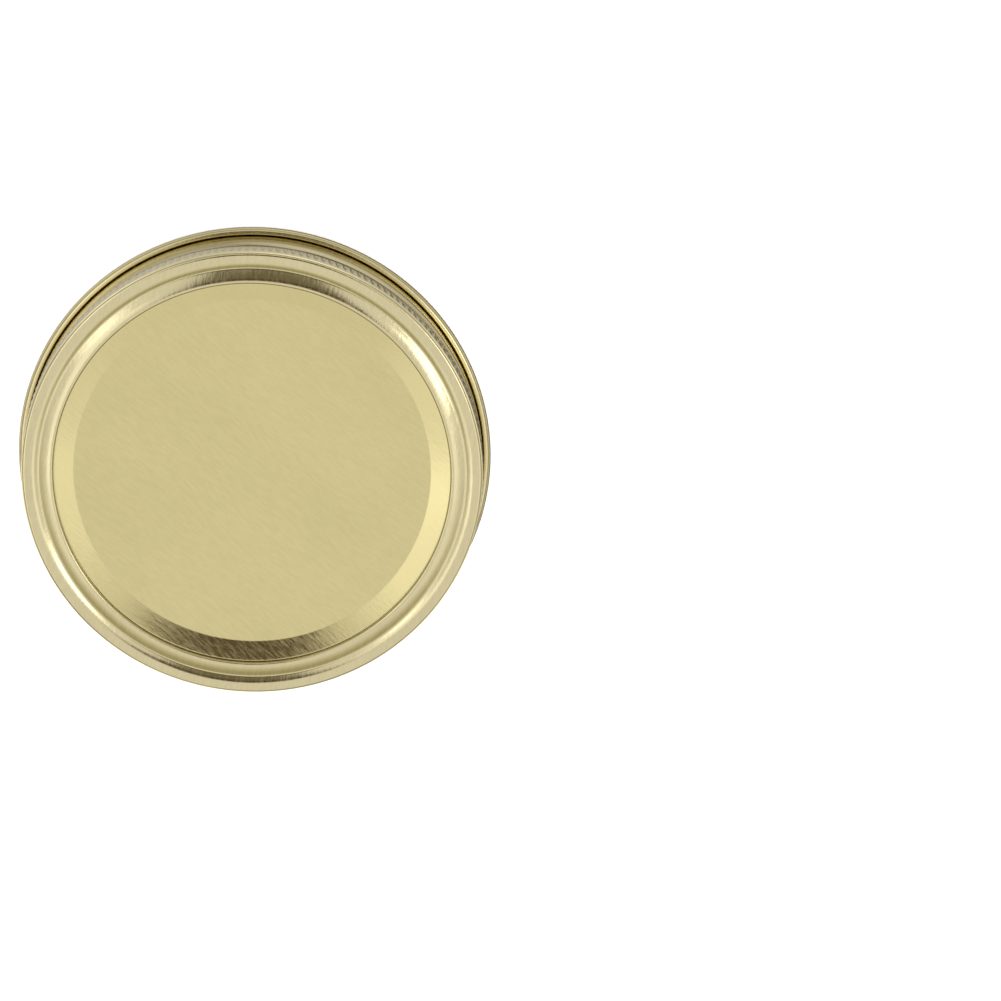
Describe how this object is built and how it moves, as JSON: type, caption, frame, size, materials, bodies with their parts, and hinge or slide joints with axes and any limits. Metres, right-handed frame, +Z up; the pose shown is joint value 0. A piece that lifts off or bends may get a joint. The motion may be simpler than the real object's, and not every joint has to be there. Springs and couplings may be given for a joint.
{
  "type": "two-piece canning jar lid",
  "caption": "Two-piece canning jar lid: a threaded screw band with a knurled wall over a flat sealing lid whose underside carries a ring of compound.",
  "frame": {"origin": "on the axis of the lid, at the level of the band's curled lower edge", "axes": "+Z up along the axis, out of the jar; the rolled thread starts 172 degrees counter-clockwise of +X, seen from above, and climbs counter-clockwise"},
  "size_m": [0.0882, 0.0882, 0.0137],
  "materials": {
    "band_gold": "satin gold lacquer over rolled tinplate",
    "lid_gold": "satin gold lacquer over rolled tinplate, straight grain",
    "compound": "satin flowed-in sealing compound"
  },
  "bodies": {
    "lid": {"flat_lid": "lid_gold", "sealing_ring": "compound"},
    "band": {"screw_band": "band_gold"}
  },
  "joints": [
    {"name": "band_lift", "type": "slide", "parent": "lid", "child": "band", "axis": [0, 0, 1], "range_m": [0, 0.03]}
  ]
}
